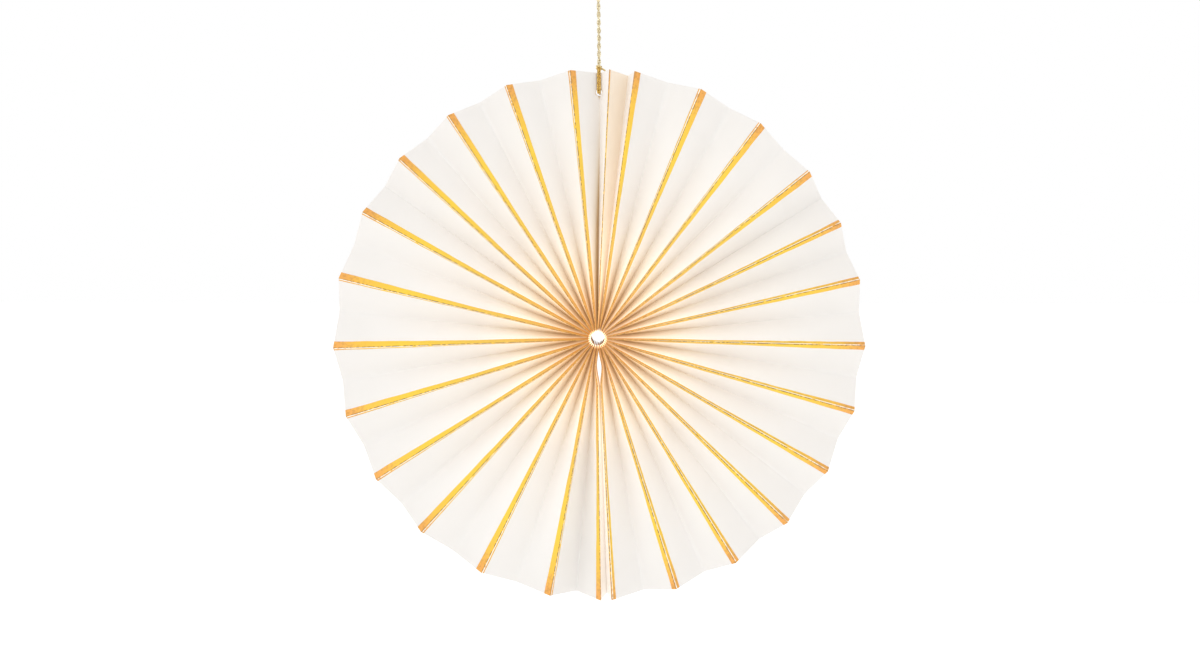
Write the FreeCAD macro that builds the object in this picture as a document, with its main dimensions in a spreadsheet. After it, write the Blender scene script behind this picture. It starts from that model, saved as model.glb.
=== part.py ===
import FreeCAD, Part
import math
import os

from FreeCAD import Vector

# A hanging paper fan rosette, 30 cm across. One long strip of white paper is folded into 54 panels,
# its two ends are taped together at the bottom, and a thread gathers its inner edge round a small
# hole, so that it opens into a disc. The disc stands in the XZ plane and its front looks along -Y.
# The origin is the middle of the hub. Bearings are clockwise from the top, seen from the front.

doc = FreeCAD.newDocument("paper_fan_rosette")
sheet = doc.addObject("Spreadsheet::Sheet", "Sizes")

SIZES = [
    ("rim_radius", 150.0, "hub to the cut outer edge, along a fold"),
    ("hub_radius", 3.9, "hub to the cut inner edge"),
    ("paper_thickness", 0.2, "one layer of paper"),
    ("flattest_tilt", 14.5, "degrees that the widest pleat's panels still slope at the rim"),
    ("front_share", 0.58, "share of a pleat's depth that lies in front of the origin"),
    ("seam_bearing", 178.15, "degrees, where the strip's ends meet"),
    ("seam_pitch", 2.5, "degrees between the two folds beside the seam"),
    ("after_seam_count", 1, "pleats"),
    ("after_seam_pitch", 11.1, "degrees from one front fold to the next, at the rim"),
    ("lower_left_count", 2, "pleats"),
    ("lower_left_pitch", 15.9, "degrees"),
    ("left_count", 5, "pleats"),
    ("left_pitch", 15.2, "degrees"),
    ("upper_left_count", 4, "pleats that share what the other runs leave of the circle"),
    ("lap_pitch", 8.3, "degrees, the pleat that the cord goes through"),
    ("lap_valley_share", 0.75, "where that pleat's valley lies between its front folds"),
    ("tuck_pitch", 5.4, "degrees, the tight pleat beside it"),
    ("tuck_valley_share", 0.74, "where the tight pleat's valley lies between its front folds"),
    ("upper_right_count", 3, "pleats"),
    ("upper_right_pitch", 14.6, "degrees"),
    ("right_count", 2, "pleats"),
    ("right_pitch", 12.8, "degrees"),
    ("lower_right_count", 7, "pleats"),
    ("lower_right_pitch", 14.23, "degrees"),
    ("tape_width", 6.0, "double-sided tape between the two end panels"),
    ("tape_thickness", 0.15, "its thickness"),
    ("tape_start_radius", 28.0, "where the tape starts, seen from the hub"),
    ("tape_rim_inset", 1.5, "how far the tape stops short of the rim"),
    ("slit_start_radius", 6.0, "where the end panels part, between thread and tape"),
    ("slit_width", 2.4, "how far they part"),
    ("stripe_width", 5.2, "gold band over each front fold, both sides together"),
    ("stripe_thickness", 0.05, "its thickness"),
    ("stripe_hub_inset", 0.8, "bare paper between the band and the inner edge"),
    ("outer_cells", 6, "cells along a panel from the tape's start to the rim"),
    ("crease_offset", 0.7, "share of a band on the clockwise side of the fold, most pleats"),
    ("crease_middle", 0.5, "the same on the right and lower right pleats"),
    ("lap_stripe_width", 1.6, "the cut band on the tuck's own fold"),
    ("thread_ring_radius", 5.6, "thread through all the panels"),
    ("thread_diameter", 0.5, "its thickness"),
    ("thread_clearance", 0.08, "room round it in the paper"),
    ("thread_sides", 6, "flat sides of the thread"),
    ("hole_inset", 11.0, "punched hole for the cord, below the rim"),
    ("hole_radius", 1.85, "its radius"),
    ("cord_diameter", 2.3, "twisted cord of two strands"),
    ("strand_diameter", 1.1, "one strand"),
    ("cord_sides", 8, "flat sides of the cord's plain tubes"),
    ("hitch_front", 3.2, "cord in front of the valley, from the fold to its middle"),
    ("hitch_back", 1.75, "cord behind the valley, from the fold to its middle"),
    ("hitch_side", 0.65, "how far the cord lies beside the fold, on its wider side"),
    ("hitch_rest", 0.45, "how far the cord's turn sits below the middle of its hole"),
    ("hitch_lean", 0.65, "how far each leg leans towards the knot"),
    ("knot_rise", 2.6, "middle of the lower knot above the rim"),
    ("knot_half_width", 1.75, "lower knot, half of its width"),
    ("knot_half_depth", 3.05, "half of its depth"),
    ("knot_half_height", 1.95, "half of its height"),
    ("tail_reach", 3.6, "loose end of the cord, sideways from the knot"),
    ("tail_drop", 1.7, "and downwards"),
    ("tail_bend", 0.2, "its drop halfway along"),
    ("upright_length", 43.0, "cord from the lower knot's middle to the upper knot's middle"),
    ("upright_lean", 0.5, "how far its top leans to the left"),
    ("upright_bow", 0.12, "how far its middle stands to the right"),
    ("upper_knot_radius", 2.1, "upper knot, half of its size each way"),
    ("knot_chamfer", 1.1, "what is taken off a knot's edges"),
    ("loop_height", 15.0, "hanging loop above the upper knot's middle"),
    ("loop_radius", 3.6, "round top of the hanging loop, to the strand's middle"),
]
for row, (alias, value, note) in enumerate(SIZES, start=1):
    sheet.set(f"A{row}", note)
    sheet.set(f"B{row}", str(value))
    sheet.setAlias(f"B{row}", alias)
doc.recompute()


def size(alias):
    return float(sheet.get(alias))


def count(alias):
    return int(round(size(alias)))


def add_shape(label, shape):
    feature = doc.addObject("Part::Feature", label)
    feature.Label = label
    feature.Shape = shape
    return feature


# Where the folds lie. Each run of pleats has its own pitch, and the upper left run closes the circle.
RUNS_BEFORE = ["after_seam", "lower_left", "left"]
RUNS_AFTER = ["upper_right", "right", "lower_right"]


def run_pitches():
    before = [size(f"{run}_pitch") for run in RUNS_BEFORE for _ in range(count(f"{run}_count"))]
    after = [size(f"{run}_pitch") for run in RUNS_AFTER for _ in range(count(f"{run}_count"))]
    tight = [size("lap_pitch"), size("tuck_pitch")]
    left_over = 360.0 - sum(before) - sum(after) - sum(tight) - size("seam_pitch")
    closing = [left_over / count("upper_left_count")] * count("upper_left_count")
    return before + closing + tight + after, len(before) + len(closing)


pitches, lap_number = run_pitches()
ridge_count = len(pitches) + 1
tuck_ridge = lap_number + 1
first_bearing = size("seam_bearing") + size("seam_pitch") / 2
ridge_bearings = [first_bearing + sum(pitches[:k]) for k in range(ridge_count)]
hub_step = 360.0 / ridge_count
widest_half_pitch = math.radians(max(pitches)) / 2
panel_width = 2 * size("rim_radius") * math.sin(widest_half_pitch / 2)
panel_width /= math.cos(math.radians(size("flattest_tilt")))
mean_half_pitch = math.pi / ridge_count

BACK = Vector(0, 1, 0)


def on_circle(radius, bearing):
    angle = math.radians(bearing)
    return Vector(radius * math.sin(angle), 0, radius * math.cos(angle))


def clockwise(bearing):
    angle = math.radians(bearing)
    return Vector(math.cos(angle), 0, -math.sin(angle))


# A fold runs straight from its place on the hub's ring, where the layers are packed evenly, to its
# place on the rim. A station is the radius of a section through the strip.
def plan_place(hub_bearing, rim_bearing, station):
    share = (station - size("hub_radius")) / (size("rim_radius") - size("hub_radius"))
    hub_point = on_circle(size("hub_radius"), hub_bearing)
    return hub_point + (on_circle(size("rim_radius"), rim_bearing) - hub_point) * share


def front_depth(station):
    half_chord = 2 * station * math.sin(mean_half_pitch / 2)
    return -size("front_share") * math.sqrt(panel_width**2 - half_chord**2)


def slit_opening(station):
    start, end = size("slit_start_radius"), size("tape_start_radius")
    if not start < station < end:
        return 0.0
    return size("slit_width") / 2 * math.sin(math.pi * (station - start) / (end - start)) ** 2


def ridge_plan(number, station):
    hub_bearing = size("seam_bearing") + hub_step * (number + 0.5)
    return plan_place(hub_bearing, ridge_bearings[number], station)


# The front fold between the two tight pleats lies back by as much as its leaning valley asks.
def tuck_set_back(station):
    across = (ridge_plan(tuck_ridge + 1, station) - ridge_plan(tuck_ridge, station)).Length
    height = math.sqrt(panel_width**2 - (across / 2) ** 2)
    return (size("tuck_valley_share") - 0.5) * across**2 / height


def ridge_place(number, station):
    place = ridge_plan(number, station) + BACK * front_depth(station)
    if number == tuck_ridge:
        place += BACK * tuck_set_back(station)
    if number == 0:
        place += clockwise(size("seam_bearing")) * slit_opening(station)
    if number == ridge_count - 1:
        place -= clockwise(size("seam_bearing")) * slit_opening(station)
    return place


# A valley lies one panel's width behind both of its front folds.
def valley_place(number, station):
    left, right = ridge_place(number, station), ridge_place(number + 1, station)
    across = right - left
    if number == lap_number:
        share = size("lap_valley_share")
        reach = across * share
        return left + reach + BACK * math.sqrt(panel_width**2 - reach.Length**2)
    along = Vector(across).normalize()
    backward = (BACK - along * BACK.dot(along)).normalize()
    return left + across / 2 + backward * math.sqrt(panel_width**2 - (across.Length / 2) ** 2)


# At the seam each end panel runs back to a strip as wide as the tape, where the two lie flat together.
def seam_places(ridge_number, side, station):
    ridge = ridge_place(ridge_number, station)
    seam = plan_place(size("seam_bearing"), size("seam_bearing"), station)
    apart = (size("paper_thickness") + size("tape_thickness")) / 2 + slit_opening(station)
    seam += clockwise(size("seam_bearing")) * side * apart
    sideways = Vector(seam.x - ridge.x, 0, seam.z - ridge.z)
    free_width = panel_width - size("tape_width")
    bend = ridge + sideways + BACK * math.sqrt(free_width**2 - sideways.Length**2)
    return bend, bend + BACK * size("tape_width")


def section_places(station):
    bend, edge = seam_places(0, 1, station)
    places = [edge, bend]
    for number in range(ridge_count - 1):
        places.append(ridge_place(number, station))
        places.append(valley_place(number, station))
    places.append(ridge_place(ridge_count - 1, station))
    bend, edge = seam_places(ridge_count - 1, -1, station)
    return places + [bend, edge]


# The strip's two surfaces in one section. The outside of a fold is blunt and has two corners, and
# its inside has one. A normal points to the front, square to the panel and to the fold beside it.
def normal(start, end, outward):
    return (end - start).cross(outward).normalize()


def mitre(first, second):
    return (first + second) / (1 + first.dot(second))


def section_corners(station):
    places = section_places(station)
    half = size("paper_thickness") / 2
    last = len(places) - 1
    front, back = [], []
    for index, place in enumerate(places):
        outward = Vector(place.x, 0, place.z).normalize()
        before_index, after_index = max(index - 1, 0), min(index, last - 1)
        before = normal(places[before_index], places[before_index + 1], outward)
        after = normal(places[after_index], places[after_index + 1], outward)
        inner = mitre(before, after) * half
        is_fold = 2 <= index <= last - 2
        is_ridge = is_fold and index % 2 == 0
        is_valley = is_fold and index % 2 == 1
        front.append([place + before * half, place + after * half] if is_ridge else [place + inner])
        back.append([place - before * half, place - after * half] if is_valley else [place - inner])
    return front, back


# A panel turns from upright at the hub to nearly flat at the rim. Past the tape's start the stations
# lie where the widest pleat has turned by even steps.
def station_radii():
    hub, rim = size("hub_radius"), size("rim_radius")
    slit_start, slit_end = size("slit_start_radius"), size("tape_start_radius")
    inner = [hub, hub + size("stripe_hub_inset"), slit_start, (slit_start + slit_end) / 2]
    last_turn = math.radians(90 - size("flattest_tilt"))
    first_turn = math.asin(math.sin(last_turn) * slit_end / rim)
    cells = count("outer_cells")
    turns = [first_turn + (last_turn - first_turn) * number / cells for number in range(cells + 1)]
    return inner + [rim * math.sin(turn) / math.sin(last_turn) for turn in turns]


stations = station_radii()
sections = [section_corners(station) for station in stations]
rim_front = sections[-1][0]
last_panel = len(rim_front) - 2


# The gold band over a front fold reaches further on its clockwise side, except on the right.
def band_widths(number):
    full, clockwise_share = size("stripe_width"), size("crease_offset")
    first_middle = tuck_ridge + 1 + count("upper_right_count") + 1
    if number == tuck_ridge:
        full = size("lap_stripe_width")
        return full / 2, full / 2
    if number >= first_middle:
        clockwise_share = size("crease_middle")
    return full * (1 - clockwise_share), full * clockwise_share


# A panel is divided along the edge of its band, so that the band lies on whole facets of it.
def band_edge_share(panel):
    ridge_is_left = panel % 2 == 0
    ridge_index = panel if ridge_is_left else panel + 1
    left_width, right_width = band_widths((ridge_index - 2) // 2)
    width = (rim_front[panel + 1][0] - rim_front[panel][-1]).Length
    return right_width / width if ridge_is_left else 1 - left_width / width


def panel_run(side, panel):
    start, end = side[panel][-1], side[panel + 1][0]
    if panel in (0, last_panel):
        return [start, end]
    return [start, start + (end - start) * band_edge_share(panel), end]


def surface_line(side):
    points = []
    for panel in range(last_panel + 1):
        run = panel_run(side, panel)
        shares_corner = points and run[0] is points[-1]
        points += run[1:] if shares_corner else run
    return points


def flat_face(*corners):
    return Part.Face(Part.makePolygon([*corners, corners[0]]))


def facets(near_left, near_right, far_left, far_right):
    return [flat_face(near_left, near_right, far_right), flat_face(near_left, far_right, far_left)]


def strip_facets(near, far):
    faces = []
    for left, right, far_left, far_right in zip(near, near[1:], far, far[1:]):
        faces += facets(left, right, far_left, far_right)
    return faces


# The cut ends at the hub and the rim are closed between the front corners and the back corners.
def end_caps(front, back):
    faces = []
    for panel in range(last_panel + 1):
        faces += strip_facets(panel_run(front, panel), panel_run(back, panel))
    for corners, opposite in (front, back), (back, front):
        for index, pair in enumerate(corners):
            if len(pair) == 2:
                faces.append(flat_face(*pair, opposite[index][0]))
    return faces


def solid_of(faces):
    shell = Part.makeShell(faces)
    shell.sewShape()
    solid = Part.makeSolid(Part.Shell(shell.Faces))
    if solid.Volume < 0:
        solid.reverse()
    return solid


# The folded sheet: both sides of every panel, the blunt folds, the strip's two ends and its two cuts,
# as flat facets between neighbouring sections.
def folded_sheet():
    lines = [(surface_line(front), surface_line(back)) for front, back in sections]
    faces = []
    for (front, back), (next_front, next_back) in zip(lines, lines[1:]):
        faces += strip_facets(front, next_front) + strip_facets(back, next_back)
        for end in (0, -1):
            faces += facets(front[end], back[end], next_front[end], next_back[end])
    return solid_of(faces + end_caps(*sections[0]) + end_caps(*sections[-1]))


blank = add_shape("folded_blank", folded_sheet())

# The gathering thread is a ring of short straight lengths, one to each panel.
def thread_ring(radius):
    sides = count("thread_sides")
    turns = [2 * math.pi * side / sides for side in range(sides + 1)]
    rings = []
    for number in range(2 * ridge_count + 1):
        bearing = size("seam_bearing") + hub_step / 2 * number
        middle, outward = on_circle(size("thread_ring_radius"), bearing), on_circle(radius, bearing)
        around = [outward * math.cos(turn) + BACK * radius * math.sin(turn) for turn in turns]
        rings.append([middle + reach for reach in around])
    faces = []
    for near, far in zip(rings, rings[1:]):
        for left, right, far_left, far_right in zip(near, near[1:], far, far[1:]):
            faces.append(flat_face(left, right, far_right, far_left))
    return solid_of(faces)


# The thread's channel and the cord's hole go through the folded sheet.
thread_radius = size("thread_diameter") / 2
add_shape("gather_thread", thread_ring(thread_radius))
thread_channel = add_shape("thread_channel", thread_ring(thread_radius + size("thread_clearance")))

hole_station = size("rim_radius") - size("hole_inset")
hole_fold = valley_place(lap_number, hole_station)
cord_line_x = hole_fold.x - size("hitch_side")
hole_length = 2 * panel_width
hole_foot = Vector(cord_line_x, hole_fold.y - hole_length / 2, hole_fold.z)
cord_hole = add_shape("cord_hole", Part.makeCylinder(size("hole_radius"), hole_length, hole_foot, BACK))

punched_blank = add_shape("punched_blank", blank.Shape.cut(cord_hole.Shape))
add_shape("pleated_paper", punched_blank.Shape.cut(thread_channel.Shape))

# The gold bands: a thin layer over each front fold, on the same facets as the paper.
def band_corners(number, station_number):
    index = 2 + 2 * number
    front = sections[station_number][0]
    left_edge, left_top = panel_run(front, index - 1)[-2:]
    right_top, right_edge = panel_run(front, index)[:2]
    inner = [left_edge, left_top, right_top, right_edge]
    outward = Vector(left_top.x, 0, left_top.z).normalize()
    normals = [normal(start, end, outward) for start, end in zip(inner, inner[1:])]
    layer = size("stripe_thickness")
    outer = [
        left_edge + normals[0] * layer,
        left_top + mitre(normals[0], normals[1]) * layer,
        right_top + mitre(normals[1], normals[2]) * layer,
        right_edge + normals[2] * layer,
    ]
    return outer, inner


def gold_band(number):
    first_station = stations.index(size("hub_radius") + size("stripe_hub_inset"))
    corners = [band_corners(number, station) for station in range(first_station, len(stations))]
    faces = []
    for (outer, inner), (next_outer, next_inner) in zip(corners, corners[1:]):
        faces += strip_facets(outer, next_outer) + strip_facets(inner, next_inner)
        for end in (0, -1):
            faces += facets(outer[end], inner[end], next_outer[end], next_inner[end])
    for outer, inner in (corners[0], corners[-1]):
        faces += strip_facets(outer, inner)
    return solid_of(faces)


bands = [gold_band(number) for number in range(ridge_count)]
add_shape("gold_stripes", Part.makeCompound(bands))


# The tape fills the room between the flat backs of the two end panels.
def seam_tape():
    tape_end = size("rim_radius") - size("tape_rim_inset")
    tape_stations = [station for station in stations[-1 - count("outer_cells") :] if station < tape_end]
    across = clockwise(size("seam_bearing")) * size("tape_thickness") / 2
    rings = []
    for station in tape_stations + [tape_end]:
        middle = plan_place(size("seam_bearing"), size("seam_bearing"), station)
        near = seam_places(0, 1, station)[0].y
        far = min(seam_places(0, 1, station)[1].y, seam_places(ridge_count - 1, -1, station)[1].y)
        corners = [
            middle + across + BACK * near,
            middle + across + BACK * far,
            middle - across + BACK * far,
            middle - across + BACK * near,
        ]
        rings.append(Part.makePolygon(corners + corners[:1]))
    return Part.makeLoft(rings, True, True)


add_shape("seam_tape", seam_tape())


# The cord goes down in front of the valley, through the hole, up behind the paper and into the knot.
def tube(path, diameter):
    start = path.Edges[0].Vertexes[0].Point
    along = path.Edges[0].tangentAt(path.Edges[0].FirstParameter)
    corners = Part.makeCircle(diameter / 2, start, along).discretize(count("cord_sides") + 1)
    return path.makePipeShell([Part.makePolygon(corners)], True, False)


def rounded_path(points, share):
    edges, radii = [], []
    start = points[0]
    for before, corner, after in zip(points, points[1:], points[2:]):
        back_run, next_run = before - corner, after - corner
        turn = math.pi - back_run.getAngle(next_run)
        cut = share * min(back_run.Length, next_run.Length)
        radii.append(cut / math.tan(turn / 2))
        first = corner + Vector(back_run).normalize() * cut
        last = corner + Vector(next_run).normalize() * cut
        bisector = (Vector(back_run).normalize() + Vector(next_run).normalize()).normalize()
        reach = math.hypot(cut, radii[-1])
        middle = corner + bisector * (reach - radii[-1])
        edges.append(Part.LineSegment(start, first).toShape())
        edges.append(Part.Arc(first, middle, last).toShape())
        start = last
    edges.append(Part.LineSegment(start, points[-1]).toShape())
    return Part.Wire(edges), radii


CORNER_SHARE = 0.45
knot_place = Vector(
    cord_line_x,
    hole_fold.y - (size("hitch_front") - size("hitch_back")) / 2,
    size("rim_radius") + size("knot_rise"),
)


# A knot is a plain lump: a block with its edges taken off.
def knot_lump(label, place, half_width, half_depth, half_height):
    block = doc.addObject("Part::Box", f"{label}_block")
    for side, half in ("Length", half_width), ("Width", half_depth), ("Height", half_height):
        block.setExpression(side, f"2 * {half}")
    doc.recompute()
    block.Placement.Base = place - Vector(block.Length, block.Width, block.Height) / 2
    knot = doc.addObject("Part::Chamfer", label)
    knot.Label = label
    knot.Base = block
    chamfer = size("knot_chamfer")
    knot.Edges = [(number + 1, chamfer, chamfer) for number in range(len(block.Shape.Edges))]
    doc.recompute()
    return knot


lower_knot_sizes = ["Sizes.knot_half_width", "Sizes.knot_half_depth", "Sizes.knot_half_height"]
lower_knot = knot_lump("lower_knot", knot_place, *lower_knot_sizes)


def hitch():
    radius = (size("hitch_front") + size("hitch_back")) / 2
    middle_y = hole_fold.y - (size("hitch_front") - size("hitch_back")) / 2
    low = hole_fold.z + radius - size("hitch_rest")
    front_top = knot_place - BACK * (radius - size("hitch_lean"))
    back_top = knot_place + BACK * (radius - size("hitch_lean"))
    front_foot = Vector(cord_line_x, middle_y - radius, low)
    back_foot = Vector(cord_line_x, middle_y + radius, low)
    bottom = Vector(cord_line_x, middle_y, low - radius)
    path = Part.Wire(
        [
            Part.LineSegment(front_top, front_foot).toShape(),
            Part.Arc(front_foot, bottom, back_foot).toShape(),
            Part.LineSegment(back_foot, back_top).toShape(),
        ]
    )
    return tube(path, size("cord_diameter")).cut(lower_knot.Shape)


add_shape("cord_hitch", hitch())

tail_points = [
    knot_place,
    knot_place + Vector(size("tail_reach") / 2, 0, -size("tail_bend")),
    knot_place + Vector(size("tail_reach"), 0, -size("tail_drop")),
]
tail_path, tail_radii = rounded_path(tail_points, CORNER_SHARE)
add_shape("knot_tail", tube(tail_path, size("strand_diameter")).cut(lower_knot.Shape))

upper_knot_place = knot_place + Vector(-size("upright_lean"), 0, size("upright_length"))
upper_knot = knot_lump("upper_knot", upper_knot_place, *["Sizes.upper_knot_radius"] * 3)

upright_points = [
    knot_place,
    knot_place + Vector(size("upright_bow"), 0, size("upright_length") / 2),
    upper_knot_place,
]
upright_path, upright_radii = rounded_path(upright_points, CORNER_SHARE)
upright = tube(upright_path, size("cord_diameter"))
add_shape("hanging_cord", upright.cut(lower_knot.Shape).cut(upper_knot.Shape))


# The hanging loop is one strand that leaves the upper knot, turns over and comes back to it.
def hanging_loop():
    radius, height = size("loop_radius"), size("loop_height")
    top_middle = upper_knot_place + Vector(0, 0, height - radius)
    spread = math.asin(radius / (height - radius))
    touch = Vector(math.cos(spread), 0, -math.sin(spread)) * radius
    mirrored = Vector(-touch.x, 0, touch.z)
    left, top, right = top_middle + mirrored, top_middle + Vector(0, 0, radius), top_middle + touch
    path = Part.Wire(
        [
            Part.LineSegment(upper_knot_place, left).toShape(),
            Part.Arc(left, top, right).toShape(),
            Part.LineSegment(right, upper_knot_place).toShape(),
        ]
    )
    return tube(path, size("strand_diameter")).cut(upper_knot.Shape)


add_shape("hanging_loop", hanging_loop())

doc.recompute()
NODES = [
    "pleated_paper",
    "gold_stripes",
    "seam_tape",
    "gather_thread",
    "cord_hitch",
    "lower_knot",
    "knot_tail",
    "hanging_cord",
    "upper_knot",
    "hanging_loop",
]
for item in doc.Objects:
    if "Invalid" in item.State or "Error" in item.State:
        raise RuntimeError(f"{item.Label} failed: {item.State}")
pieces = {item.Label: item for item in doc.Objects}
for label in NODES:
    shape = pieces[label].Shape
    if shape.isNull() or not shape.isValid():
        raise RuntimeError(f"{label} has no valid shape")

os.makedirs("parts", exist_ok=True)
for label in NODES:
    shape = pieces[label].Shape
    shape.exportStep(f"parts/{label}.step")
    box = shape.BoundBox
    print(
        label,
        "solids", len(shape.Solids),
        "volume", round(shape.Volume, 2),
        "box", [round(v, 2) for v in (box.XMin, box.YMin, box.ZMin, box.XMax, box.YMax, box.ZMax)],
    )
for name, path, radii in (
    ("knot_tail", tail_path, tail_radii),
    ("hanging_cord", upright_path, upright_radii),
):
    print(name, "length", round(path.Length, 2), "radii", [round(radius, 1) for radius in radii])
print("panel width", round(panel_width, 2), "pitches", [round(pitch, 2) for pitch in pitches])
print("knots at", knot_place, upper_knot_place, "loop top", upper_knot_place.z + size("loop_height"))
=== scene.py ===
import math

import bmesh
import bpy
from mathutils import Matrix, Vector, noise


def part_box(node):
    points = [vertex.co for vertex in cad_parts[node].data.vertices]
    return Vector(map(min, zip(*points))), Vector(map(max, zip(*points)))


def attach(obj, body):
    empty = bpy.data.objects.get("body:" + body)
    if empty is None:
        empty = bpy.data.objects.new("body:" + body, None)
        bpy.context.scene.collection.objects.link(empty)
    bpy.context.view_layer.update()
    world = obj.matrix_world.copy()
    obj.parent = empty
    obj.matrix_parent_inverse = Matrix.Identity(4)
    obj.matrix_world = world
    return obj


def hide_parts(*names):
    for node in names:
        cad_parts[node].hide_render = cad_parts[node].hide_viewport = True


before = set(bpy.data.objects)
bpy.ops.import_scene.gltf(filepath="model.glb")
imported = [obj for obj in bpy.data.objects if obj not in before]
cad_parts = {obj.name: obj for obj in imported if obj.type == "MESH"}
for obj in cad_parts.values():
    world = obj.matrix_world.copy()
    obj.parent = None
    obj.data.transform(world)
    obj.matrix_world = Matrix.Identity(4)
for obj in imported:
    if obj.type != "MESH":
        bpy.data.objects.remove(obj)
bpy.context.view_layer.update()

MM = 0.001

# The camera looks at the hub from the front, a little from the right and from above, 0.7 m away. The
# picture is shifted so that the hub lies where it does in the photograph, above the cord's knots.
PICTURE_WIDTH = 1200
HUB_LEFT_OF_MIDDLE, HUB_BELOW_MIDDLE = 1.9, 15.1
CAMERA_TURN, CAMERA_RISE, CAMERA_DISTANCE = math.radians(1.4), math.radians(4.0), 0.70
to_camera = Vector(
    (
        math.sin(CAMERA_TURN) * math.cos(CAMERA_RISE),
        -math.cos(CAMERA_TURN) * math.cos(CAMERA_RISE),
        math.sin(CAMERA_RISE),
    )
)
lens = bpy.data.cameras.new("camera")
lens.sensor_width = 36
lens.lens = 36.92
lens.shift_x = HUB_LEFT_OF_MIDDLE / PICTURE_WIDTH
lens.shift_y = HUB_BELOW_MIDDLE / PICTURE_WIDTH
camera = bpy.data.objects.new("camera", lens)
camera.location = to_camera * CAMERA_DISTANCE
camera.rotation_euler = (-to_camera).to_track_quat("-Z", "Y").to_euler()
bpy.context.scene.collection.objects.link(camera)
bpy.context.scene.camera = camera

# The hanging cord: two strands of gold metallic yarn twisted together, 2.3 mm over both. It is pulled
# straight up from the knot at the rim to the knot under its loop, which lies just above the view.
CORD = 2.3 * MM
STRAND = CORD / 2
CORD_TURN, CORD_STEP = 8.8 * MM, 0.25 * MM
LOWER_KNOT = Vector((0.333, 7.783, 152.6)) * MM
UPPER_KNOT = Vector((-0.167, 7.783, 195.6)) * MM
CORD_ROUTE = [LOWER_KNOT, LOWER_KNOT + Vector((0.12, 0, 21.5)) * MM, UPPER_KNOT]


def smooth_line(name, route):
    curve = bpy.data.curves.new(name, "CURVE")
    curve.dimensions = "3D"
    spline = curve.splines.new("NURBS")
    spline.points.add(len(route) - 1)
    for point, place in zip(spline.points, route):
        point.co = (*place, 1)
    spline.order_u = 3
    spline.use_endpoint_u = True
    spline.resolution_u = 24
    holder = bpy.data.objects.new(name, curve)
    line = bpy.data.meshes.new_from_object(holder)
    places = [vertex.co.copy() for vertex in line.vertices]
    bpy.data.objects.remove(holder)
    bpy.data.curves.remove(curve)
    bpy.data.meshes.remove(line)
    return places


def even_steps(places, step):
    gone = [0.0]
    for before, after in zip(places, places[1:]):
        gone.append(gone[-1] + (after - before).length)
    count = max(2, round(gone[-1] / step))
    steps, span = [], 0
    for number in range(count + 1):
        target = gone[-1] * number / count
        while span < len(places) - 2 and gone[span + 1] < target:
            span += 1
        share = (target - gone[span]) / (gone[span + 1] - gone[span])
        steps.append(places[span].lerp(places[span + 1], min(share, 1)))
    return steps


def directions(places, closed=False):
    last = len(places) - 1
    result = []
    for index in range(len(places)):
        if closed:
            before, after = places[index - 1], places[(index + 1) % len(places)]
        else:
            before, after = places[max(index - 1, 0)], places[min(index + 1, last)]
        result.append((after - before).normalized())
    return result


RING = 20
PLY_RELIEF = 0.06


def add_ring(bm, centre, side, over, radius, plies, turn):
    ring = []
    for number in range(RING):
        angle = 2 * math.pi * number / RING
        reach = radius * (1 - PLY_RELIEF + PLY_RELIEF * math.cos(plies * (angle + turn)))
        ring.append(bm.verts.new(centre + (side * math.cos(angle) + over * math.sin(angle)) * reach))
    return ring


def join_rings(bm, first, second):
    for number in range(RING):
        following = (number + 1) % RING
        bm.faces.new((first[number], first[following], second[following], second[number]))


def mesh_object(name, bm, material):
    for face in bm.faces:
        face.smooth = True
    mesh = bpy.data.meshes.new(name)
    bm.to_mesh(mesh)
    bm.free()
    mesh.materials.append(material)
    piece = bpy.data.objects.new(name, mesh)
    bpy.context.scene.collection.objects.link(piece)
    return piece


PLY_TURN = 2.4 * MM


def twisted_strands(name, places, radius, count, material, plies=4, cord_turn=CORD_TURN):
    bm = bmesh.new()
    tangents = directions(places)
    side = tangents[0].orthogonal().normalized()
    gone, frames = 0.0, []
    for index, (place, tangent) in enumerate(zip(places, tangents)):
        if index:
            gone += (place - places[index - 1]).length
        side = (side - tangent * side.dot(tangent)).normalized()
        frames.append((place, side.copy(), tangent.cross(side), gone))
    for number in range(count):
        rings = []
        for place, side, over, gone in frames:
            angle = 2 * math.pi * (gone / cord_turn + number / count)
            offset = radius if count > 1 else 0
            centre = place + (side * math.cos(angle) + over * math.sin(angle)) * offset
            rings.append(add_ring(bm, centre, side, over, radius, plies, -gone / PLY_TURN))
        for first, second in zip(rings, rings[1:]):
            join_rings(bm, first, second)
        bm.faces.new(list(reversed(rings[0])))
        bm.faces.new(rings[-1])
    return mesh_object(name, bm, material)


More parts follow.
